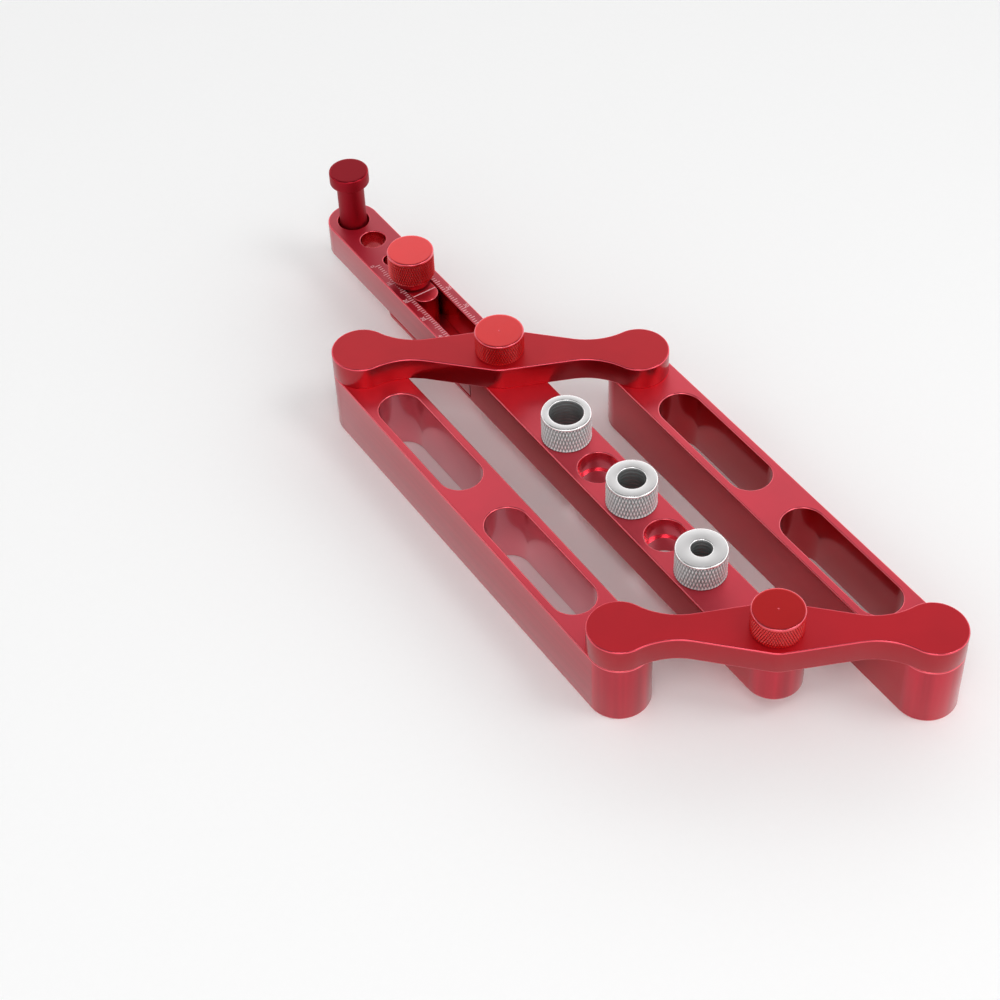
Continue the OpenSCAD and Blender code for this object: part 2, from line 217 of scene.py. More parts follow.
class Shell:
    """The closed surface of one piece while it is worked out, with a normal at each corner of its faces."""

    def __init__(self):
        self.rings, self.grooves, self.count = [], [], 0
        self.faces, self.normals, self.finishes = [], [], []

    @property
    def points(self):
        """All points so far, a row each."""
        return np.concatenate(self.rings)

    def ring(self, flat, height, groove=0.0):
        """Adds the points of a loop at a height and returns their numbers.

        The groove is the share of painted shade at each point, from 0 to 1: how near it is to the bottom of a
        knurl's groove, and 1 under a knob and round a bush's foot.
        """
        self.rings.append(np.column_stack([flat, np.full(len(flat), height)]))
        self.grooves.append(np.broadcast_to(groove, len(flat)))
        self.count += len(flat)
        return np.arange(self.count - len(flat), self.count)

    def add(self, faces, normals, finish):
        """Adds faces as rows of point numbers, with the normals at their corners."""
        self.faces.append(faces)
        self.normals.append(np.reshape(normals, (-1, 3)))
        self.finishes.append(np.full(len(faces), finish))

    def add_flat(self, faces, finish):
        """Adds triangles that are shaded flat, with the cross product of two sides as their normal."""
        a, b, c = self.points[faces].transpose(1, 0, 2)
        normal = np.cross(b - a, c - a)
        normal /= np.linalg.norm(normal, axis=1)[:, None]
        self.add(faces, np.repeat(normal, 3, 0), finish)

    def wall(self, loop, profile, first=None, last=None, groove=0.0):
        """Carries a profile round a loop in plan and returns its rings, in the order of the profile.

        A point is the loop's point moved out by the profile's distance, at the profile's height. Its normal
        is the loop's normal times the level part of the profile's normal, with that normal's rise. A first or
        last ring of another wall is used instead of a new one, so that the two walls join.
        """
        path = np.array([row[:2] for row in profile])
        mitre = mitres(loop)
        level_start, level_end, _ = stretch_normals(loop, True)
        rise_start, rise_end, _ = stretch_normals(path, False)
        for outermost in (rise_start[0], rise_end[-1]):
            if abs(outermost[1]) > math.cos(SMOOTH_TURN):
                outermost[:] = (0, math.copysign(1, outermost[1]))
        rings = [self.ring(loop + out * mitre, height, groove) for out, height in path]
        rings[0] = rings[0] if first is None else first
        rings[-1] = rings[-1] if last is None else last
        following = np.roll(np.arange(len(loop)), -1)
        for low, high, start, end, (_, _, finish) in zip(rings, rings[1:], rise_start, rise_end, profile):
            pairs = ((level_start, start), (level_end, start), (level_end, end), (level_start, end))
            corners = [np.column_stack([level * out, np.full(len(loop), up)]) for level, (out, up) in pairs]
            faces = np.column_stack([low, low[following], high[following], high])
            self.add(faces, np.stack(corners, 1), finish)
        return rings

    def hole(self, loop, profile):
        """Carries a profile round a hole, with its counter-clockwise loop reversed to face inwards."""
        return self.wall(loop[::-1], profile)

    def bore(self, centre, radius, low, high):
        """A plain round hole between two heights. Returns its lowest and its highest ring."""
        profile = rounded((0, low, 0, BORE), (0, high, 0, BORE))
        return self.hole(circle(radius, HOLE_POINTS, centre), profile)

    def turned(self, centre, count, corners, first=None, last=None, groove=0.0):
        """Carries (radius, height, rounding, finish) corners round an axis and returns their rings."""
        reach = max(corner[0] for corner in corners)
        profile = rounded(*[(radius - reach, *rest) for radius, *rest in corners])
        return self.wall(circle(reach, count, centre), profile, first, last, groove)

    def cap(self, loops, up, finish=FACE):
        """Closes a level outline and the holes in it with triangles that face up for 1 and down for -1.

        They are found in millimetres, because points of a small rounding lie too close together in metres.
        """
        numbers, points = np.concatenate(loops), self.points
        outlines = [[Vector(point / MM) for point in points[loop]] for loop in loops]
        triangles = numbers[np.array(tessellate_polygon(outlines))]
        a, b, c = points[triangles].transpose(1, 0, 2)
        over = np.cross(b - a, c - a)[:, 2] * up < 0
        triangles[over] = triangles[over][:, ::-1]
        self.add(triangles, np.tile([0, 0, up], (len(triangles) * 3, 1)), finish)

    def close(self, walls):
        """Caps an outer wall and the holes through it, whose rings go from the lowest to the highest."""
        self.cap([rings[0] for rings in walls], -1)
        self.cap([rings[-1] for rings in walls], 1)

    def knurl(self, centre, radius, sizes, bottom, top, low, high):
        """Diamond knurl from height bottom to top, joined to the ring low under it and the ring high over it.

        Two sets of grooves wind up the cylinder at opposite slants. With x round it and y up it in half
        diamonds, the grooves lie where x + y or x - y is even. From a groove the metal rises steeply to the
        quarter of a diamond, and from there gently to the point in its middle, so each diamond is a low dome.
        """
        around, steps = DIAMOND_POINTS * sizes.diamonds, 2 * sizes.half_rows
        column, row = np.meshgrid(np.arange(around), np.arange(steps + 1))
        nearness = np.maximum(np.abs((column + row) / 2 % 2 - 1), np.abs((column - row) / 2 % 2 - 1))
        reach = radius - sizes.depth * np.interp(nearness, (0, 0.5, 1), (0, sizes.crown, 1))
        turn = 2 * math.pi * column / around
        plan = np.array(centre) + reach[..., None] * np.stack([np.cos(turn), np.sin(turn)], -1)
        heights = np.linspace(bottom, top, steps + 1)
        # Each point carries its nearness to a groove, which the material turns into painted shade
        grid = [self.ring(flat, height, groove) for flat, height, groove in zip(plan, heights, nearness)]
        following = np.roll(np.arange(around), -1)
        # Middle of each cell of the grid. A cell is cut along the slant of the diamond that it belongs to
        x = np.arange(around) / 2 + 0.25
        for y, below, above in zip(np.arange(steps) / 2 + 0.25, grid, grid[1:]):
            rising, falling = 2 * np.floor((x + y) / 2) + 1, 2 * np.floor((x - y) / 2) + 1
            slope = (x - (rising + falling) / 2) * (y - (rising - falling) / 2) > 0
            cell = np.column_stack([below, below[following], above[following], above])
            halves = ((slope, [0, 1, 3]), (slope, [1, 2, 3]), (~slope, [0, 1, 2]), (~slope, [0, 2, 3]))
            for cells, corners in halves:
                self.add_flat(cell[cells][:, corners], KNURL)
        for below, above in ((low, grid[0]), (grid[-1], high)):
            self.add_flat(np.column_stack([below, below[following], above[following]]), KNURL)
            self.add_flat(np.column_stack([below, above[following], above]), KNURL)

    def put(self, name, node, materials):
        """Makes the object. It rides with a CAD node's body, and is shown instead of that node."""
        corners = np.concatenate([faces.ravel() for faces in self.faces])
        used, corners = np.unique(corners, return_inverse=True)
        sides = np.concatenate([np.full(len(faces), faces.shape[1]) for faces in self.faces])
        mesh = bpy.data.meshes.new(name)
        mesh.vertices.add(len(used))
        mesh.loops.add(len(corners))
        mesh.polygons.add(len(sides))
        mesh.vertices.foreach_set("co", self.points[used].ravel())
        mesh.loops.foreach_set("vertex_index", corners)
        mesh.polygons.foreach_set("loop_start", np.cumsum(sides) - sides)
        for material in materials:
            mesh.materials.append(material)
        mesh.polygons.foreach_set("material_index", np.concatenate(self.finishes))
        # The groove attribute carries the share of painted shade at each point
        groove = mesh.attributes.new("groove", "FLOAT", "POINT")
        groove.data.foreach_set("value", np.concatenate(self.grooves)[used])
        mesh.update(calc_edges=True)
        mesh.normals_split_custom_set(np.concatenate(self.normals).tolist())
        place(bpy.data.objects.new(name, mesh), node, True)


def put_shapes(name, node, material, shapes):
    """Makes one object of (points, faces) shapes. It rides with a CAD node's body, which stays in view."""
    counts = [len(points) for points, _ in shapes]
    starts = np.cumsum(counts) - counts
    faces = [[corner + start for corner in face]
             for start, (_, sides) in zip(starts, shapes) for face in sides]
    mesh = bpy.data.meshes.new(name)
    mesh.from_pydata(np.concatenate([points for points, _ in shapes]).tolist(), [], faces)
    mesh.materials.append(material)
    place(bpy.data.objects.new(name, mesh), node, False)


def place(piece, node, instead):
    """Links a piece and lets it ride with a CAD node's body. Instead says that it stands for that node."""
    bpy.context.scene.collection.objects.link(piece)
    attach(piece, BODY_OF[node])
    if instead:
        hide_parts(node)


# Materials

# Length that a wave texture takes to repeat at scale 1
WAVE = math.pi / 10
# Sockets of a Mix node for colours: its share of the second colour, the two colours and the mixed one
SHARE, FIRST, SECOND, MIXED = 0, 6, 7, 2
# Height of the beads' dents and the tool marks in the metal
DENT = 0.01 * MM


def linear(hex_colour):
    """Linear colour of an sRGB hex value."""
    parts = [int(hex_colour[i:i + 2], 16) / 255 for i in (1, 3, 5)]
    return [p / 12.92 if p <= 0.04045 else ((p + 0.055) / 1.055) ** 2.4 for p in parts] + [1.0]


def dimmed(colour, share):
    """A colour that gives back only a share of its light."""
    return [share * part for part in colour[:3]] + [1.0]


def add_node(tree, kind, settings=(), links=()):
    """Adds a node. Settings are (socket or property, value) and links are (socket, node, its output)."""
    node = tree.nodes.new(kind)
    for name, value in settings:
        if isinstance(name, int) or name in node.inputs:
            node.inputs[name].default_value = value
        else:
            setattr(node, name, value)
    for name, source, output in links:
        tree.links.new(source.outputs[output], node.inputs[name])
    return node


def start_material(name, centre=(0, 0)):
    """An empty material with its tree, and Object coordinates that are counted from an axis at centre."""
    material = bpy.data.materials.new(name)
    material.use_nodes = True
    tree = material.node_tree
    tree.nodes.clear()
    place_in = add_node(tree, "ShaderNodeTexCoord")
    shift = add_node(tree, "ShaderNodeMapping", [("Location", (-centre[0], -centre[1], 0))],
                     [("Vector", place_in, "Object")])
    return material, tree, shift


def end_material(tree, settings, links):
    """Ends a tree in one shader."""
    shader = add_node(tree, "ShaderNodeBsdfPrincipled", settings, links)
    add_node(tree, "ShaderNodeOutputMaterial", links=[("Surface", shader, "BSDF")])


def darkened(tree, mix, share):
    """A mixed colour that falls to a share of itself where the groove attribute says: painted shade in a
    knurl's grooves, under a knob and round a bush's foot, which light hardly reaches.
    """
    groove = add_node(tree, "ShaderNodeAttribute", [("attribute_name", "groove")])
    reach = add_node(tree, "ShaderNodeMapRange", [("From Min", 0.35), ("To Min", 1.0), ("To Max", share)],
                     [("Value", groove, "Fac")])
    return add_node(tree, "ShaderNodeVectorMath", [("operation", "SCALE")],
                    [("Vector", mix, MIXED), ("Scale", reach, 0)])


def anodised(name, colour, depth, roughness, grain, coat=1.0, oxide=1.6, gloss=0.12, turned=0.0,
             centre=(0, 0), streaks=(1, 1, 1)):
    """Dyed and anodised aluminium: coloured metal under clear oxide, which adds a pale sheen at a slant.

    The blasted surface has a grain of 0.1 mm, drawn at 0.3 mm so that it shows. The dye clouds over 16 mm,
    and where most was taken its colour falls to the share that depth says. Streaks divide the clouds along
    each axis, so that milling and drawing leave bands in the dye. A turned face has tool marks round its
    axis 0.12 mm apart, drawn at 0.4 mm so that they show.
    """
    material, tree, shift = start_material(name + "_anodised_aluminium", centre)
    bands = add_node(tree, "ShaderNodeMapping", [("Scale", streaks)], [("Vector", shift, 0)])
    cloud = add_node(tree, "ShaderNodeTexNoise", [("Scale", 1 / (16 * MM)), ("Detail", 2.0)],
                     [("Vector", bands, 0)])
    taken = add_node(tree, "ShaderNodeMapRange", [("From Min", 0.35), ("From Max", 0.65)],
                     [("Value", cloud, 0)])
    dye = add_node(tree, "ShaderNodeMix", [("data_type", "RGBA"), (FIRST, colour),
                                           (SECOND, dimmed(colour, depth))], [(SHARE, taken, 0)])
    beads = add_node(tree, "ShaderNodeTexNoise", [("Scale", 1 / (0.3 * MM)), ("Detail", 1.0)],
                     [("Vector", shift, 0)])
    dents = add_node(tree, "ShaderNodeBump", [("Strength", grain), ("Distance", DENT)],
                     [("Height", beads, 0)])
    rings = add_node(tree, "ShaderNodeTexWave", [("wave_type", "RINGS"), ("rings_direction", "Z"),
                                                 ("Scale", WAVE / (0.4 * MM)), ("Distortion", 0.4)],
                     [("Vector", shift, 0)])
    marks = add_node(tree, "ShaderNodeBump", [("Strength", turned), ("Distance", DENT)],
                     [("Height", rings, 1), ("Normal", dents, 0)])
    shade = darkened(tree, dye, 0.55)
    end_material(tree, [("Metallic", 1.0), ("Roughness", roughness), ("Coat Weight", coat),
                        ("Coat Roughness", gloss), ("Coat IOR", oxide)],
                 [("Base Color", shade, 0), ("Normal", marks, 0)])
    return material


def steel(name, colour, roughness, turned=0.0, centre=(0, 0), bare=1.0, pattern="RINGS", feed=0.35):
    """Bright turned steel: a grey gloss that tool marks draw into fine lines round the axis.

    The marks are 0.1 mm apart, drawn at the feed in millimetres so that they show, as rings on a face across
    the axis and as bands up a wall along it. Handling leaves the metal a little duller in patches of 3 mm.
    """
    material, tree, shift = start_material(name, centre)
    wave = add_node(tree, "ShaderNodeTexWave", [("wave_type", pattern), ("rings_direction", "Z"),
                                                ("bands_direction", "Z"), ("Scale", WAVE / (feed * MM)),
                                                ("Distortion", 0.6)], [("Vector", shift, 0)])
    marks = add_node(tree, "ShaderNodeBump", [("Strength", turned), ("Distance", 0.1 * feed * MM)],
                     [("Height", wave, 1)])
    smear = add_node(tree, "ShaderNodeTexNoise", [("Scale", 1 / (3 * MM)), ("Detail", 3.0)],
                     [("Vector", shift, 0)])
    dull = add_node(tree, "ShaderNodeMapRange", [("To Min", roughness - 0.06), ("To Max", roughness + 0.08)],
                    [("Value", smear, 0)])
    stain = add_node(tree, "ShaderNodeMix", [("data_type", "RGBA"), (FIRST, colour),
                                             (SECOND, dimmed(colour, 0.9))], [(SHARE, smear, 0)])
    shade = darkened(tree, stain, 0.35)
    end_material(tree, [("Metallic", bare)],
                 [("Base Color", shade, 0), ("Roughness", dull, 0), ("Normal", marks, 0)])
    return material


def laser_etched(name, colour):
    """Marks cut through the dye by laser: pale, matt oxide that is a little uneven, over 0.5 mm."""
    material, tree, shift = start_material(name)
    grain = add_node(tree, "ShaderNodeTexNoise", [("Scale", 1 / (0.5 * MM)), ("Detail", 2.0)],
                     [("Vector", shift, 0)])
    shade = add_node(tree, "ShaderNodeMix", [("data_type", "RGBA"), (FIRST, colour),
                                             (SECOND, dimmed(colour, 0.8))], [(SHARE, grain, 0)])
    end_material(tree, [("Roughness", 0.6)], [("Base Color", shade, MIXED)])
    return material


def paper(name, colour, fibre_colour):
    """Paper sweep: matt and nearly white, with fibres of 2 mm that are too faint to notice."""
    material, tree, shift = start_material(name)
    fibre = add_node(tree, "ShaderNodeTexNoise", [("Scale", 1 / (2 * MM)), ("Detail", 2.0)],
                     [("Vector", shift, 0)])
    pulp = add_node(tree, "ShaderNodeMix", [("data_type", "RGBA"), (FIRST, colour), (SECOND, fibre_colour)],
                    [(SHARE, fibre, 0)])
    end_material(tree, [("Roughness", 0.9)], [("Base Color", pulp, MIXED)])
    return material


def bar_finishes(name, colours, face, bore, side, coat=1.0, roughness=0.42, last=DRAWN_SIDE_PAINTED_LIGHT):
    """Finishes of a flat piece, up to the last that it has.

    They are blasted faces, smooth edges that take less dye, milled bores and sides, round ends and drawn
    sides. The sides and ends are dyed apart from the faces: this paints shade on the milled sides and ends,
    and light and shade on the drawn sides. The cutter leaves upright bands of 4 mm on the ends, and the die
    leaves lines of 1 mm along the drawn sides.
    """
    finishes = (
        ("_blasted_face", dict(colour=face, depth=0.92, roughness=roughness, grain=0.3, coat=coat,
                               oxide=1.7, gloss=0.34)),
        # Rounded edges: the oxide is thinner there and takes less dye, and the paler dye also paints a
        # highlight along every edge
        ("_broken_edge", dict(colour=colours.edge, depth=0.96, roughness=0.26, grain=0.1, coat=coat)),
        ("_milled_bore", dict(colour=bore, depth=0.9, roughness=0.24, grain=0.2, oxide=1.7)),
        ("_milled_side", dict(colour=side, depth=0.94, roughness=0.34, grain=0.3, coat=0.5)),
        ("_milled_end", dict(colour=colours.end, depth=0.7, roughness=0.32, grain=0.3, coat=0.65,
                             streaks=(4, 4, 0.1))),
        ("_drawn_side", dict(colour=colours.drawn, depth=0.9, roughness=0.4, grain=0.3, oxide=1.55,
                             streaks=(0.1, 16, 16))),
    )
    return [anodised(name + finish, **values) for finish, values in finishes[:last + 1]]


def turned_finishes(name, colour, edge, centre, coat=1.0, roughness=0.3, last=KNURL):
    """Finishes of a turned piece, up to the last that it has.

    They are faces with fine rings, smooth edges in the edge's dye, which paints a highlight along them where
    it is paler than the face, bores and the knurl.
    """
    finishes = (
        ("_turned_face", dict(colour=colour, depth=0.95, roughness=roughness, grain=0.15, turned=0.2)),
        ("_turned_edge", dict(colour=edge, depth=0.96, roughness=0.24, grain=0.1)),
        ("_turned_bore", dict(colour=colour, depth=0.9, roughness=0.26, grain=0.2)),
        ("_knurled", dict(colour=colour, depth=0.95, roughness=0.34, grain=0.1)),
    )
    return [anodised(name + finish, coat=coat, centre=centre, **values)
            for finish, values in finishes[:last + 1]]


# Settings


def length(name, millimetres, description):
    """A length that a user can change."""
    return FloatProperty(name=name, description=description, default=millimetres * MM, min=0, precision=5,
                         subtype="DISTANCE", unit="LENGTH")


def angle(name, degrees, description):
    """An angle that a user can change."""
    return FloatProperty(name=name, description=description, default=math.radians(degrees), subtype="ANGLE",
                         unit="ROTATION")


def tint(name, hex_colour, description):
    """A colour that a user can change."""
    return FloatVectorProperty(name=name, description=description, default=linear(hex_colour), size=4,
                               min=0, max=1, subtype="COLOR")


def number(name, value, description):
    """A plain number that a user can change."""
    return FloatProperty(name=name, description=description, default=value, min=0)


def count(name, value, least, description):
    """A whole number that a user can change."""
    return IntProperty(name=name, description=description, default=value, min=least)


class JigBarSizes(bpy.types.PropertyGroup):
    edge: length("Edge rounding", 0.4, "Radius of the broken edges of bars, arms and rule")
    mouth: length("Mouth rounding", 0.3, "Radius of the broken edges of round holes")
    slot_width: length("Slot width", 13, "Width of the long slots in a clamp bar")
    slot_land: length("Slot land", 11.4, "Solid length between the two slots of a clamp bar")
    slot_end_gap: length("Slot end gap", 14.8, "Distance from a slot's outer end to the pivot beside it")
    pivot_bore: length("Pivot bore", 8.1, "Diameter of the hole that turns on a screw's shoulder")
    counterbore: length("Counterbore", 13, "Diameter of the recess for a screw's head")
    counterbore_depth: length("Counterbore depth", 6, "Depth of that recess")


class JigGuideSizes(bpy.types.PropertyGroup):
    holes: count("Guide holes", 5, 2, "Guide holes from the rear bush to the front one")
    seat: length("Seat", 12, "Diameter of the seat of a drill bush")
    seat_depth: length("Seat depth", 7, "Depth of that seat")
    clearance: length("Drill clearance", 10.6, "Diameter of the hole below a seat")
    stud_bore: length("Stud bore", 6.1, "Diameter of the holes for the studs of the arm knobs")
    rule_stud_bore: length("Rule stud bore", 5.1, "Diameter of the hole for the stud of the rule's knob")
    shoulder_back: length("Shoulder", 4.5, "Distance that the full height runs on behind the rear pivot")
    tail: length("Tail", 1.4, "Thickness of the tail under the rule")
    key_width: length("Key width", 8.6, "Width of the key in the rule's slot")
    key_run: length("Key run", 7, "Distance between the centres of the key's round ends")
    key_drop: length("Key drop", 0.4, "Depth of the key's top below the rule's")
    index_width: length("Index line", 0.3, "Width of the line across the key")


class JigArmSizes(bpy.types.PropertyGroup):
    waist: length("Waist", 8.9, "Width of an arm at its narrowest")
    blend: length("Blend", 20, "Radius from the waist into the round end")
    thread: length("Thread", 5, "Diameter of the threaded hole under each end")
    thread_depth: length("Thread depth", 5.8, "Depth of that hole")


class JigRuleSizes(bpy.types.PropertyGroup):
    pitch: length("Hole pitch", 12, "Distance between neighbouring pin holes")
    small_hole: length("Small hole", 6, "Diameter of the pin hole nearest to the slot")
    middle_hole: length("Middle hole", 8, "Diameter of the middle pin hole")
    large_hole: length("Large hole", 10, "Diameter of the pin hole at the far end")
    slot_width: length("Slot width", 8.8, "Width of the slot that rides on the key")
    end_wall: length("End wall", 5, "Solid length between the slot and the near end")
    slot_back: length("Slot end", 0.5, "Distance from the knob's axis back to the slot's far centre")


class JigMarkSizes(bpy.types.PropertyGroup):
    line: length("Line", 0.22, "Width of a mark")
    sunk: length("Sunk", 0.02, "Depth of the rule's face below the arms, so that its marks pass under them")
    proud: length("Height", 0.015, "Height of the marks above the metal")
    inset: length("Inset", 0.35, "Distance from the rim of the slot to the marks")
    short: length("Short mark", 1.2, "Length of the mark of a millimetre")
    medium: length("Medium mark", 1.7, "Length of the mark of five millimetres")
    long: length("Long mark", 1.9, "Length of the mark of ten millimetres")
    digits: length("Digits", 1.3, "Height of the digits")
    clear: number("Digits clear", 1 / 3, "Share of that height between a long mark and its number's middle")
    back: length("Digits back", 0.7, "Distance from a long mark back to the middle of its number")
    reach: count("Reach", 50, 10, "Millimetres that each scale counts")
    offset: length("Offset", 2.5, "Distance that the far scale starts in front of the near one")


class JigKnobSizes(bpy.types.PropertyGroup):
    diamonds: count("Diamonds", 60, 12, "Diamonds of the knurl round a knob")
    half_rows: count("Half rows", 7, 2, "Half diamonds up a knob's knurl")
    depth: length("Knurl depth", 0.3, "Depth of the grooves of the knurl")
    crown: number("Crown", 0.3, "Share of that depth which a diamond has lost halfway down to a groove")
    foot: length("Foot", 0.4, "Height of the neck below the knurl")
    collar: length("Collar", 0.9, "Plain height above the knurl")
    rim: length("Rim", 0.4, "Radius of the rim")
    dimple: length("Dimple", 0.3, "Radius of the centre mark on top of an arm's knob")


class JigBushSizes(bpy.types.PropertyGroup):
    diamonds: count("Diamonds", 48, 12, "Diamonds of the knurl round a bush")
    half_rows: count("Half rows", 5, 2, "Half diamonds up the knurl of a bush")
    depth: length("Knurl depth", 0.5, "Depth of the grooves of the knurl")
    crown: number("Crown", 0.3, "Share of that depth which a diamond has lost halfway down to a groove")
    foot: length("Foot", 0.5, "Plain height below the knurl")
    collar: length("Collar", 0.8, "Plain height above the knurl")
    rim: length("Rim", 0.5, "Radius of the outer rim")
    shank: length("Shank", 11.9, "Diameter of the shank in the seat")
    lead: length("Lead", 0.35, "Radius of the edges of the bore")
    bore_large: length("Large bore", 10, "Bore of the rear bush")
    bore_middle: length("Middle bore", 8, "Bore of the middle bush")
    bore_small: length("Small bore", 6, "Bore of the front bush")


class JigPinSizes(bpy.types.PropertyGroup):
    tip: length("Tip", 9.9, "Diameter of the end that stands in the rule")
    neck: length("Neck", 8.6, "Diameter between tip and head")
    head_height: length("Head height", 4.3, "Height of the head")
    step: length("Step", 0.8, "Depth of the step below the top of the rule")
    edge: length("Edge", 0.5, "Radius of the edges of head and tip")


class JigColours(bpy.types.PropertyGroup):
    bar: tint("Bars", "#E82040", "Dye of the clamp bars and the guide bar")
    arm: tint("Arms", "#C91728", "Dye of the arms")
    knob: tint("Knobs", "#E31A1E", "Dye of the knobs")
    # Also on the washer under the rule's knob, where the dark dye paints the shade under the knob
    pin: tint("Pin", "#991A27", "Dye of the locating pin")
    rule: tint("Rule", "#C41D3A", "Dye of the rule")
    # Darker than the faces: painted shade on the round ends
    end: tint("Ends", "#C82036", "Dye on the round ends of the bars")
    # Darker than the faces: painted shade on the milled sides, between the bars
    side: tint("Sides", "#BC1C2C", "Dye on the milled sides of the bars")
    # Darker than the arms' tops: painted shade on their sides
    arm_side: tint("Arm sides", "#AC1A26", "Dye on the sides of the arms")
    # Paler than the bar's faces: a painted reflection in the left bar's slots
    slot: tint("Pale slots", "#F294A0", "Dye in the slots of the left bar, which took less of it")
    # Paler than the bar's faces: a painted reflection in the guide holes
    seat: tint("Seats", "#F25A70", "Dye in the guide holes")
    # Painted light and shade on the long outer sides
    drawn: tint("Drawn sides", "#B82438", "Dye on the sides that were left as drawn")
    # Paler than the faces: thinner oxide on the edges, and a painted highlight along them
    edge: tint("Edges", "#E04A5A", "Dye on the edges, where the oxide takes less of it")
    bush: tint("Bushes", "#F4F2F2", "Steel of the drill bushes")
    bore: tint("Bush bores", "#8A8C8C", "Steel in the bores of the drill bushes")
    # Tinted faintly blue-green, which paints out the red reflection that the bars cast into the knurl
    knurl: tint("Bush knurls", "#F0F8F8", "Steel of the knurls of the drill bushes")
    stud: tint("Studs", "#9A9A9C", "Steel of studs and washers")
    screw: tint("Screws", "#3A3A3C", "Blackened steel of the pivot screws")
    marks: tint("Marks", "#FFC8CE", "Etched lines and numbers")
    floor: tint("Floor", "#F9F9F9", "Paper of the floor")
    fibre: tint("Floor fibres", "#FBFBFB", "Paler fibres in that paper")


class JigStudio(bpy.types.PropertyGroup):
    azimuth: angle("Azimuth", 58.354, "Direction of the camera round the jig")
    elevation: angle("Elevation", 46.886, "Height of the camera above the horizon")
    roll: angle("Roll", -2.736, "Tilt of the camera round its line of sight")
    target: FloatVectorProperty(name="Target", description="Point at the middle of the picture",
                                default=(-21.699 * MM, -30.044 * MM, 0), unit="LENGTH", subtype="XYZ")
    distance: length("Distance", 614.871, "Distance from the target to the camera")
    lens: number("Lens", 78.4, "Focal length in millimetres on a 36 mm sensor")
    horizon: number("Horizon", 1.4, "Strength of the studio light near the horizon")
    zenith: number("Zenith", 0.225, "Strength of the studio light overhead")
    bright_to: angle("Bright to", 38, "Height above the horizon at which the light starts to fade")
    dim_from: angle("Dim from", 50, "Height above the horizon at which it has faded")
    left: number("Left", 0.5, "Share of that light which comes from the darker side of the room")
    lamp: number("Lamps", 2.0, "Power of each soft box in watts")


class JigSettings(bpy.types.PropertyGroup):
    bars: PointerProperty(type=JigBarSizes, name="Bars", description="Sizes of the clamp bars")
    guide: PointerProperty(type=JigGuideSizes, name="Guide bar", description="Sizes of the guide bar")
    arms: PointerProperty(type=JigArmSizes, name="Arms", description="Sizes of the arms")
    rule: PointerProperty(type=JigRuleSizes, name="Rule", description="Sizes of the rule")
    marks: PointerProperty(type=JigMarkSizes, name="Marks", description="Sizes of the scales on the rule")
    knobs: PointerProperty(type=JigKnobSizes, name="Knobs", description="Sizes of the knobs")
    bushes: PointerProperty(type=JigBushSizes, name="Bushes", description="Sizes of the drill bushes")
    pin: PointerProperty(type=JigPinSizes, name="Pin", description="Sizes of the locating pin")
    colours: PointerProperty(type=JigColours, name="Colours", description="Colours of the finishes")
    studio: PointerProperty(type=JigStudio, name="Studio", description="Camera and light")


# Pieces


class JIG_OT_clamp_bars(bpy.types.Operator):
    """Two deep clamp bars, round at both ends, with two long slots and a stepped pivot hole at each end"""

    bl_idname = "jig.clamp_bars"
    bl_label = "Clamp Bars"

    def execute(self, context):
        settings = context.scene.doweling_jig
        sizes, colours = settings.bars, settings.colours
        # A bar, the dye in its slots and holes, and the stretch of its outline that is its outer side. The
        # left bar's pale slot dye paints a reflection in its slots
        pieces = (("left_bar", colours.slot, -1), ("right_bar", colours.arm, HALF_ROUND - 1))
        for node, bore, outer in pieces:
            low, high = box(node)
            width, centre = high[1] - low[1], middle(node)
            span = high[0] - low[0] - width
            slot_run = (span - sizes.slot_land) / 2 - sizes.slot_end_gap - sizes.slot_width
            slot_middle = (sizes.slot_land + slot_run + sizes.slot_width) / 2
            step = low[2] + sizes.counterbore_depth
            inset = (sizes.counterbore - sizes.pivot_bore) / 2
            pivot_hole = rounded((-sizes.mouth, low[2], 0, EDGE), (0, low[2], sizes.mouth, BORE),
                                 (0, step, 0, BORE), (inset, step, 0, BORE), (inset, high[2], 0, BORE))
            # The outer side is left as drawn, the inner one, which clamps, is milled. The inner side's darker
            # dye paints the shade between the bars, and the outer side's dye paints the light and shade that
            # side takes
            sides = np.full(2 * HALF_ROUND, END_PAINTED_SHADE)
            sides[[HALF_ROUND - 1, -1]] = SIDE_PAINTED_SHADE
            sides[outer] = DRAWN_SIDE_PAINTED_LIGHT
            shell = Shell()
            outline = slot_outline(span, width / 2, centre)
            walls = [shell.wall(outline, plate_edge(low[2], high[2], sizes.edge, sides))]
            for side in (-1, 1):
                slot = slot_outline(slot_run, sizes.slot_width / 2, centre + (side * slot_middle, 0))
                recess = circle(sizes.counterbore / 2, HOLE_POINTS, centre + (side * span / 2, 0))
                walls.append(shell.hole(slot, plate_edge(low[2], high[2], sizes.edge, BORE)))
                walls.append(shell.hole(recess, pivot_hole))
            shell.close(walls)
            shell.put(node + "_body", node, bar_finishes(node, colours, colours.bar, bore, colours.side))
        return {"FINISHED"}


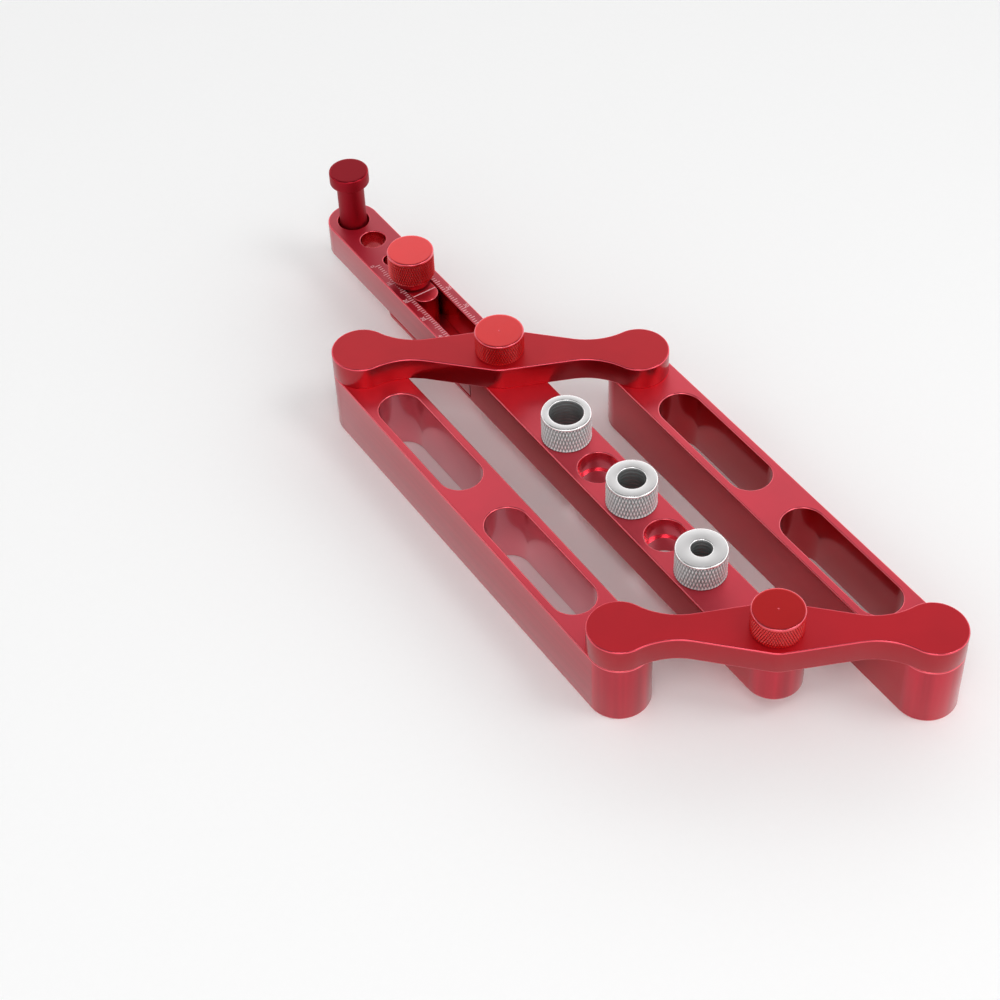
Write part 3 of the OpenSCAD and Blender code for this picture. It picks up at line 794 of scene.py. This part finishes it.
class JIG_OT_guide_bar(bpy.types.Operator):
    """Guide bar with its stepped holes, a thin tail behind its shoulder and the key that guides the rule"""

    bl_idname = "jig.guide_bar"
    bl_label = "Guide Bar"

    def execute(self, context):
        settings = context.scene.doweling_jig
        bars, sizes, colours = settings.bars, settings.guide, settings.colours
        low, high = box("centre_bar")
        radius = (high[1] - low[1]) / 2
        front, tail_end = high[0] - radius, low[0] + radius
        shoulder = middle("rear_knob")[0] - sizes.shoulder_back
        ledge_top, key_top = low[2] + sizes.tail, high[2] - sizes.key_drop
        nose = arc(radius, -90, 90, HALF_ROUND, (front, 0))
        tail = arc(radius, 90, 270, HALF_ROUND, (tail_end, 0))
        corners = np.array([[shoulder, radius], [shoulder, -radius]])
        # The nose, which comes first in the outline, is milled round. The nose and the sides each take a
        # darker dye, painted shade
        sides = np.full(2 * HALF_ROUND + 2, SIDE_PAINTED_SHADE)
        sides[:HALF_ROUND - 1] = END_PAINTED_SHADE
        shell = Shell()
        lower = shell.wall(np.concatenate([nose, corners[:1], tail, corners[1:]]), rounded(
            (-bars.edge, low[2], 0, EDGE), (0, low[2], bars.edge, sides), (0, ledge_top, 0, FACE)))
        upper = shell.wall(np.concatenate([nose, corners]), rounded(
            (0, ledge_top, 0, sides[:HALF_ROUND + 2]), (0, high[2], bars.edge, EDGE),
            (-bars.edge, high[2], 0, EDGE)), first=np.append(lower[-1][:HALF_ROUND + 1], lower[-1][-1]))
        ledge = lower[-1][HALF_ROUND:]
        key_middle = (tail_end + sizes.key_run / 2, 0)
        key = shell.wall(slot_outline(sizes.key_run, sizes.key_width / 2, key_middle), rounded(
            (0, ledge_top, 0, SIDE_PAINTED_SHADE), (0, key_top, bars.mouth, EDGE), (-bars.mouth, key_top, 0, EDGE)))
        outset = (sizes.seat - sizes.clearance) / 2
        seat_floor = high[2] - sizes.seat_depth
        guide_hole = rounded((outset - bars.mouth, low[2], 0, EDGE), (outset, low[2], bars.mouth, BORE),
                             (outset, seat_floor, 0, BORE), (0, seat_floor, 0, BORE),
                             (0, high[2], bars.mouth, EDGE), (-bars.mouth, high[2], 0, EDGE))
        holes = [shell.hole(circle(sizes.seat / 2, HOLE_POINTS, (x, 0)), guide_hole)
                 for x in np.linspace(middle("bush_10")[0], middle("bush_6")[0], sizes.holes)]
        holes += [shell.bore(middle(knob), sizes.stud_bore / 2, low[2], high[2])
                  for knob in ("rear_knob", "front_knob")]
        rule_stud = shell.bore((tail_end, 0), sizes.rule_stud_bore / 2, low[2], key_top)
        shell.cap([lower[0], *(rings[0] for rings in holes), rule_stud[0]], -1)
        shell.cap([upper[-1], *(rings[-1] for rings in holes)], 1)
        shell.cap([ledge, key[0]], 1)
        shell.cap([key[-1], rule_stud[-1]], 1)
        # The guide holes take the seats' paler dye, a painted reflection
        shell.put("guide_bar_body", "centre_bar",
                  bar_finishes("guide_bar", colours, colours.bar, colours.seat, colours.side, last=END_PAINTED_SHADE))
        return {"FINISHED"}


def arm_outline(half, radius, waist, blend):
    """Dog bone outline of an arm along X, counter-clockwise, with round ends and a round hub of one radius.

    A blend circle of radius b has its centre at height waist / 2 + b, and touches the end circle where its
    centre lies radius + b from that of the end. The straight flank touches the hub and the blend circle.
    """
    rise = waist / 2 + blend
    run = half - math.sqrt((radius + blend) ** 2 - rise ** 2)
    flank = math.degrees(math.atan2(rise, run) + math.acos((radius + blend) / math.hypot(run, rise)))
    end = math.degrees(math.atan2(rise, run - half))
    bend = arc(blend, end - 180, flank - 180, ARM_BLEND, (run, rise))
    hub = arc(radius, flank, 180 - flank, ARM_HUB)
    upper = np.concatenate([arc(radius, -end, end, ARM_END, (half, 0)), bend, hub, bend[::-1] * (-1, 1)])
    return np.concatenate([upper, -upper])


class JIG_OT_arms(bpy.types.Operator):
    """Two dog bone arms, each with a hole for its stud and a blind threaded hole under each end"""

    bl_idname = "jig.arms"
    bl_label = "Arms"

    def execute(self, context):
        settings = context.scene.doweling_jig
        sizes, colours = settings.arms, settings.colours
        for end in ("rear", "front"):
            node = end + "_arm"
            low, high = box(node)
            left, right = middle(end + "_left_screw"), middle(end + "_right_screw")
            centre, span = (left + right) / 2, np.linalg.norm(right - left)
            along = (right - left) / span
            turn = np.array([along, [-along[1], along[0]]])
            radius = (high[1] - low[1] - (right - left)[1]) / 2
            outline = arm_outline(span / 2, radius, sizes.waist, sizes.blend) @ turn + centre
            shell = Shell()
            # The arms' sides take a darker dye, painted shade
            rim = shell.wall(outline, plate_edge(low[2], high[2], settings.bars.edge, SIDE_PAINTED_SHADE))
            stud = shell.bore(centre, settings.guide.stud_bore / 2, low[2], high[2])
            threads = [shell.bore(pivot, sizes.thread / 2, low[2], low[2] + sizes.thread_depth)
                       for pivot in (left, right)]
            for thread in threads:
                shell.cap([thread[-1]], -1, BORE)
            shell.cap([rim[0], stud[0], *(thread[0] for thread in threads)], -1)
            shell.cap([rim[-1], stud[-1]], 1)
            shell.put(node + "_body", node, bar_finishes(
                node, colours, colours.arm, colours.edge, colours.arm_side, coat=0.35, roughness=0.55,
                last=SIDE_PAINTED_SHADE))
        return {"FINISHED"}


class JIG_OT_rule(bpy.types.Operator):
    """Rule with a round far end, three pin holes and the slot that rides on the key"""

    bl_idname = "jig.rule"
    bl_label = "Rule"

    def execute(self, context):
        settings = context.scene.doweling_jig
        bars, sizes, colours = settings.bars, settings.rule, settings.colours
        low, high = box("rule_bar")
        face = high[2] - settings.marks.sunk
        radius = (high[1] - low[1]) / 2
        far_hole = low[0] + radius
        near_corners = [[high[0], -radius], [high[0], radius]]
        outline = np.concatenate([near_corners, arc(radius, 90, 270, HALF_ROUND, (far_hole, 0))])
        # The near end is sawn and milled straight, the long sides are drawn and the far end is milled round.
        # The ends' dyes paint their shade, and the long sides' dye paints the light and shade they take
        sides = np.full(len(outline), END_PAINTED_SHADE)
        sides[0] = SIDE_PAINTED_SHADE
        sides[[1, -1]] = DRAWN_SIDE_PAINTED_LIGHT
        slot_near = high[0] - sizes.end_wall - sizes.slot_width / 2
        slot_far = middle("rule_knob")[0] - sizes.slot_back
        slot = slot_outline(slot_near - slot_far, sizes.slot_width / 2, ((slot_near + slot_far) / 2, 0))
        pin_holes = [circle(width / 2, HOLE_POINTS, (far_hole + i * sizes.pitch, 0))
                     for i, width in enumerate((sizes.large_hole, sizes.middle_hole, sizes.small_hole))]
        shell = Shell()
        rim = shell.wall(outline, plate_edge(low[2], face, bars.edge, sides))
        hole_edge = plate_edge(low[2], face, bars.mouth, BORE)
        shell.close([rim, *(shell.hole(loop, hole_edge) for loop in (*pin_holes, slot))])
        shell.put("rule_bar_body", "rule_bar", bar_finishes(
            "rule", colours, colours.rule, colours.arm, colours.side, coat=0.7, roughness=0.55))
        return {"FINISHED"}


def blocks(*spans):
    """Points and faces of upright boxes, from the two ends in x, in y and in z of each box or of all."""
    low, high = (np.column_stack(np.broadcast_arrays(*ends)) for ends in zip(*spans))
    pick = np.array([[x, y, z] for z in (0, 1) for y in (0, 1) for x in (0, 1)])
    points = low[:, None] + pick * (high - low)[:, None]
    sides = np.array([[0, 2, 3, 1], [4, 5, 7, 6], [0, 1, 5, 4], [2, 6, 7, 3], [0, 4, 6, 2], [1, 3, 7, 5]])
    return points.reshape(-1, 3), (sides + 8 * np.arange(len(low))[:, None, None]).reshape(-1, 4)


def lettering(words, height, proud):
    """Points and faces of words in the plain built-in font, standing proud from 0, with their middle at 0.

    The text is made about 1 high and 1 deep, and its points are then scaled to the height and the depth.
    """
    curve = bpy.data.curves.new("words", "FONT")
    curve.body, curve.size, curve.extrude, curve.resolution_u = words, 1.0, 0.5, 3
    text = bpy.data.objects.new("words", curve)
    bpy.context.scene.collection.objects.link(text)
    mesh = bpy.data.meshes.new_from_object(text.evaluated_get(bpy.context.evaluated_depsgraph_get()))
    points = np.empty(3 * len(mesh.vertices))
    mesh.vertices.foreach_get("co", points)
    points = points.reshape(-1, 3)
    faces = [list(face.vertices) for face in mesh.polygons]
    for block, store in ((text, bpy.data.objects), (curve, bpy.data.curves), (mesh, bpy.data.meshes)):
        store.remove(block)
    low, high = points.min(0), points.max(0)
    centre, scale = (low + high) / 2, height / (high[1] - low[1])
    return (points - (centre[0], centre[1], low[2])) * (scale, scale, proud / (high[2] - low[2])), faces


class JIG_OT_marks(bpy.types.Operator):
    """Millimetre scales on both rails of the rule, and the line on the key that they are read at"""

    bl_idname = "jig.marks"
    bl_label = "Marks"

    def execute(self, context):
        settings = context.scene.doweling_jig
        sizes, rule, guide, colours = settings.marks, settings.rule, settings.guide, settings.colours
        low, high = box("rule_bar")
        face = high[2] - sizes.sunk
        start = low[0] + (high[1] - low[1]) / 2 + 2 * rule.pitch
        values = np.arange(sizes.reach + 1)
        run = np.select([values % 10 == 0, values % 5 == 0], [sizes.long, sizes.medium], sizes.short)
        inner = rule.slot_width / 2 + sizes.inset
        digits_out = inner + sizes.long + sizes.digits * sizes.clear
        shapes = []
        for side, zero in ((-1, start), (1, start + sizes.offset)):
            x = zero + values * MM
            ends = np.sort([np.full(len(run), side * inner), side * (inner + run)], 0)
            shapes.append(blocks(about(x, sizes.line / 2), ends, about(face, sizes.proud)))
            for value in values[::10]:
                points, faces = lettering(str(value), sizes.digits, 2 * sizes.proud)
                spot = (x[value] - sizes.back, side * digits_out, face - sizes.proud)
                shapes.append((points + spot, faces))
        put_shapes("rule_scales", "rule_bar", laser_etched("laser_etched_scales", colours.marks), shapes)
        low, high = box("centre_bar")
        index = low[0] + (high[1] - low[1]) / 2 + guide.key_run
        line = blocks(about(index, guide.index_width / 2),
                      about(0, guide.key_width / 2 - settings.bars.mouth),
                      about(high[2] - guide.key_drop, sizes.proud))
        put_shapes("index_line", "centre_bar", laser_etched("laser_etched_index", colours.marks), [line])
        return {"FINISHED"}


class JIG_OT_knobs(bpy.types.Operator):
    """Three turned knobs with a diamond knurl, a plain collar and a blind hole for the stud"""

    bl_idname = "jig.knobs"
    bl_label = "Knobs"

    def execute(self, context):
        settings = context.scene.doweling_jig
        sizes, colours = settings.knobs, settings.colours
        around = DIAMOND_POINTS * sizes.diamonds
        for end in ("rear", "front", "rule"):
            node = end + "_knob"
            centre, radius, bore = middle(node), radius_of(node), radius_of(end + "_stud")
            foot, top = (corner[2] for corner in box(node))
            bore_top = box(end + "_stud")[1][2]
            knurl_low, knurl_high = foot + sizes.foot, top - sizes.collar
            neck = radius - sizes.depth
            # Only the arms' knobs have a centre mark
            mark = [(sizes.dimple, top, 0, EDGE), (sizes.dimple / 2, top - sizes.dimple / 2, 0, FACE)]
            mark = [] if end == "rule" else mark
            shell = Shell()
            # The underside and the neck carry the full groove value: painted shade where the knob stands on
            # its arm
            under = shell.turned(centre, around, [
                (bore, bore_top, 0, BORE), (bore, foot, 0, FACE), (neck, foot, 0, FACE),
                (neck, knurl_low - sizes.depth / 2, 0, FACE)], groove=1.0)
            over = shell.turned(centre, around, [
                (radius, knurl_high + sizes.depth / 2, 0, FACE), (radius, top, sizes.rim, FACE),
                (radius - 2 * sizes.rim, top, 0, FACE), *mark])
            shell.knurl(centre, radius, sizes, knurl_low, knurl_high, under[-1], over[0])
            shell.cap([under[0]], -1, BORE)
            shell.cap([over[-1]], 1, EDGE if mark else FACE)
            # The rims take the edges' paler dye, a painted highlight round each knob
            shell.put(node + "_body", node,
                      turned_finishes(node, colours.knob, colours.edge, centre, coat=0.85))
        return {"FINISHED"}


class JIG_OT_pin(bpy.types.Operator):
    """Locating pin: a close tip in the rule's large hole, a thinner neck and a plain head"""

    bl_idname = "jig.pin"
    bl_label = "Locating Pin"

    def execute(self, context):
        settings = context.scene.doweling_jig
        sizes, colours = settings.pin, settings.colours
        centre, head = middle("locating_pin"), radius_of("locating_pin")
        foot, top = (corner[2] for corner in box("locating_pin"))
        tip, neck = sizes.tip / 2, sizes.neck / 2
        step, base = box("rule_bar")[1][2] - sizes.step, top - sizes.head_height
        shell = Shell()
        shell.close([shell.turned(centre, 2 * HOLE_POINTS, [
            (tip - 2 * sizes.edge, foot, 0, FACE), (tip, foot, sizes.edge, FACE),
            (tip, step - (tip - neck), 0, EDGE), (neck, step, 0, FACE),
            (neck, base, sizes.edge / 2, FACE), (head, base, sizes.edge / 2, FACE),
            (head, top, sizes.edge, FACE), (head - 2 * sizes.edge, top, 0, FACE)])])
        shell.put("locating_pin_body", "locating_pin", turned_finishes(
            "locating_pin", colours.pin, colours.pin, centre, coat=0.0, roughness=0.52, last=EDGE))
        return {"FINISHED"}


class JIG_OT_bushes(bpy.types.Operator):
    """Three steel drill bushes with a knurled head on the guide bar and a plain shank in its seat"""

    bl_idname = "jig.bushes"
    bl_label = "Drill Bushes"

    def execute(self, context):
        settings = context.scene.doweling_jig
        sizes, colours = settings.bushes, settings.colours
        around, shank = DIAMOND_POINTS * sizes.diamonds, sizes.shank / 2
        deck = box("centre_bar")[1][2]
        widths = {"bush_10": sizes.bore_large, "bush_8": sizes.bore_middle, "bush_6": sizes.bore_small}
        for node, width in widths.items():
            centre, radius, bore = middle(node), radius_of(node), width / 2
            foot, top = (corner[2] for corner in box(node))
            knurl_low, knurl_high = deck + sizes.foot, top - sizes.collar
            shell = Shell()
            under = shell.turned(centre, around, [
                (bore + sizes.lead, foot, 0, FACE), (shank, foot, sizes.lead, FACE), (shank, deck, 0, FACE),
                (radius - sizes.lead, deck, 0, FACE)])
            # The plain band at the foot carries the full groove value: painted shade where the bush stands on
            # the bar
            skirt = shell.turned(centre, around, [
                (radius - sizes.lead, deck, 0, FACE), (radius, deck, sizes.lead, FACE),
                (radius, knurl_low - sizes.depth / 2, 0, FACE)], first=under[-1], groove=1.0)
            over = shell.turned(centre, around, [
                (radius, knurl_high + sizes.depth / 2, 0, FACE), (radius, top, sizes.rim, FACE),
                (bore, top, sizes.lead, BORE), (bore, foot, sizes.lead, EDGE),
                (bore + sizes.lead, foot, 0, EDGE)], last=under[0])
            shell.knurl(centre, radius, sizes, knurl_low, knurl_high, skirt[-1], over[0])
            shell.put(node + "_body", node, [
                steel(node + "_turned_steel", colours.bush, 0.4, 0.06, centre),
                steel(node + "_polished_steel", colours.bush, 0.25, 0.0, centre),
                steel(node + "_reamed_steel", colours.bore, 0.3, 1.0, centre, 0.5, "BANDS", 1.3),
                steel(node + "_knurled_steel", colours.knurl, 0.45, 0.0, centre, 0.35)])
        return {"FINISHED"}


class JIG_OT_fasteners(bpy.types.Operator):
    """Finishes of the studs, pivot screws and washers, and the red washer that lifts the rule's knob"""

    bl_idname = "jig.fasteners"
    bl_label = "Fasteners"

    def execute(self, context):
        settings = context.scene.doweling_jig
        edge, colours = settings.bars.mouth, settings.colours
        centre, radius = middle("rule_washer"), radius_of("rule_washer")
        bottom, top = (corner[2] for corner in box("rule_washer"))
        shell = Shell()
        rim = shell.turned(centre, HOLE_POINTS, [
            (radius - edge, bottom, 0, EDGE), (radius, bottom, edge, FACE), (radius, top, edge, EDGE),
            (radius - edge, top, 0, EDGE)])
        shell.close([rim, shell.bore(centre, radius_of("rule_stud"), bottom, top)])
        # The washer takes the pin's dark dye: painted shade under the rule's knob
        shell.put("rule_washer_body", "rule_washer", turned_finishes(
            "rule_washer", colours.pin, colours.pin, centre, coat=0.1, roughness=0.4, last=BORE))
        for node, piece in frame["nodes"].items():
            if node.endswith(("_stud", "_screw", "left_washer", "right_washer")):
                name, colour = "_turned_steel", colours.stud
                if node.endswith("_screw"):
                    name, colour = "_blackened_steel", colours.screw
                piece.data.materials.clear()
                piece.data.materials.append(steel(node + name, colour, 0.34, 0.07, middle(node)))
        return {"FINISHED"}


# Stage

# How far the floor reaches from the jig's origin
FLOOR_REACH = 12.0
# Width of the camera's sensor in millimetres, and the nearest and farthest that it sees, in metres
SENSOR = 36
NEAREST, FARTHEST = 0.01, 20
# Direction of the darker side of the room, and the parts of it in a ray between which the light falls off
DARK_SIDE = (-0.62, -0.78, 0)
DARK_FROM, DARK_TO = 0.45, 0.9
# Width of a soft box, then the place in metres and the share of the power of each: one on the left for the
# bars' edges, one overhead for the arms' and one for the rims
SOFT_BOX = 0.35
SOFT_BOXES = {
    "left_box": ((-0.58, -0.45, 0.68), 0.25),
    "top_box": ((0.4, 0.36, 0.84), 0.8),
    "front_box": ((0.42, -0.3, 0.86), 0.8),
}


class JIG_OT_studio(bpy.types.Operator):
    """Pale floor, soft light all round and a camera at the photograph's angle"""

    bl_idname = "jig.studio"
    bl_label = "Studio"

    def execute(self, context):
        scene, sizes = context.scene, context.scene.doweling_jig.studio
        scene.view_settings.view_transform = "Standard"
        self.floor(scene)
        self.sky(scene, sizes)
        self.lamps(scene, sizes)
        self.camera(scene, sizes)
        return {"FINISHED"}

    def floor(self, scene):
        """A wide level sheet of paper under the jig."""
        colours = scene.doweling_jig.colours
        near, far, height = -FLOOR_REACH, FLOOR_REACH, cad_box[0][2]
        corners = [(near, near, height), (far, near, height), (far, far, height), (near, far, height)]
        mesh = bpy.data.meshes.new("floor")
        mesh.from_pydata(corners, [], [(0, 1, 2, 3)])
        mesh.materials.append(paper("studio_paper", colours.floor, colours.fibre))
        floor = bpy.data.objects.new("floor", mesh)
        scene.collection.objects.link(floor)

    def sky(self, scene, sizes):
        """Light from everywhere, bright near the horizon and dimmer overhead.

        The room is darker behind the camera's left, so the bars' long edges stay quiet. How much of a ray
        points to that side is their dot product.
        """
        scene.world = bpy.data.worlds.new("studio")
        scene.world.use_nodes = True
        tree = scene.world.node_tree
        tree.nodes.clear()
        direction = add_node(tree, "ShaderNodeTexCoord")
        height = add_node(tree, "ShaderNodeSeparateXYZ", links=[("Vector", direction, "Generated")])
        fade = add_node(tree, "ShaderNodeMapRange", [
            ("interpolation_type", "SMOOTHSTEP"), ("From Min", math.sin(sizes.bright_to)),
            ("From Max", math.sin(sizes.dim_from)), ("To Min", sizes.horizon), ("To Max", sizes.zenith)],
            [("Value", height, "Z")])
        side = add_node(tree, "ShaderNodeVectorMath", [("operation", "DOT_PRODUCT"), (1, DARK_SIDE)],
                        [(0, direction, "Generated")])
        shade = add_node(tree, "ShaderNodeMapRange", [
            ("interpolation_type", "SMOOTHSTEP"), ("From Min", DARK_FROM), ("From Max", DARK_TO),
            ("To Min", 1.0), ("To Max", sizes.left)], [("Value", side, "Value")])
        strength = add_node(tree, "ShaderNodeMath", [("operation", "MULTIPLY")],
                            [(0, fade, 0), (1, shade, 0)])
        light = add_node(tree, "ShaderNodeBackground", [("Color", (1, 1, 1, 1))],
                         [("Strength", strength, 0)])
        add_node(tree, "ShaderNodeOutputWorld", links=[("Surface", light, 0)])

    def lamps(self, scene, sizes):
        """The soft boxes, each turned to the jig's origin."""
        for name, (spot, share) in SOFT_BOXES.items():
            lamp = bpy.data.lights.new(name, "AREA")
            lamp.shape, lamp.size, lamp.energy = "SQUARE", SOFT_BOX, share * sizes.lamp
            piece = bpy.data.objects.new(name, lamp)
            scene.collection.objects.link(piece)
            turn = (-Vector(spot)).to_track_quat("-Z", "Y").to_matrix().to_4x4()
            piece.matrix_world = Matrix.Translation(spot) @ turn

    def camera(self, scene, sizes):
        """The camera, turned by its three angles and then moved back from its target."""
        camera = bpy.data.cameras.new("camera")
        camera.lens, camera.sensor_width = sizes.lens, SENSOR
        camera.clip_start, camera.clip_end = NEAREST, FARTHEST
        turn = Matrix.Rotation(sizes.azimuth, 4, "Z")
        turn = turn @ Matrix.Rotation(math.pi / 2 - sizes.elevation, 4, "X")
        turn = turn @ Matrix.Rotation(sizes.roll, 4, "Z")
        scene.camera = bpy.data.objects.new("camera", camera)
        scene.collection.objects.link(scene.camera)
        back = Matrix.Translation((0, 0, sizes.distance))
        scene.camera.matrix_world = Matrix.Translation(sizes.target) @ turn @ back


PIECES = (JIG_OT_clamp_bars, JIG_OT_guide_bar, JIG_OT_arms, JIG_OT_rule, JIG_OT_marks, JIG_OT_knobs,
          JIG_OT_pin, JIG_OT_bushes, JIG_OT_fasteners, JIG_OT_studio)


class JIG_PT_pieces(bpy.types.Panel):
    """Lists the pieces of the jig"""

    bl_idname = "JIG_PT_pieces"
    bl_label = "Doweling Jig"
    bl_space_type = "VIEW_3D"
    bl_region_type = "UI"
    bl_category = "Doweling Jig"

    def draw(self, context):
        for piece in PIECES:
            self.layout.operator(piece.bl_idname)
        for group in JigSettings.__annotations__:
            part = self.layout.box()
            part.label(text=group.capitalize())
            settings = getattr(context.scene.doweling_jig, group)
            for name in type(settings).__annotations__:
                part.prop(settings, name)


CLASSES = (JigBarSizes, JigGuideSizes, JigArmSizes, JigRuleSizes, JigMarkSizes, JigKnobSizes, JigBushSizes,
           JigPinSizes, JigColours, JigStudio, JigSettings, *PIECES, JIG_PT_pieces)


def register():
    for cls in CLASSES:
        bpy.utils.register_class(cls)
    bpy.types.Scene.doweling_jig = PointerProperty(type=JigSettings)


def unregister():
    del bpy.types.Scene.doweling_jig
    for cls in reversed(CLASSES):
        bpy.utils.unregister_class(cls)


def main():
    """Builds every piece and the stage."""
    register()
    for piece in PIECES:
        group, name = piece.bl_idname.split(".")
        getattr(getattr(bpy.ops, group), name)()


if __name__ == "__main__":
    main()
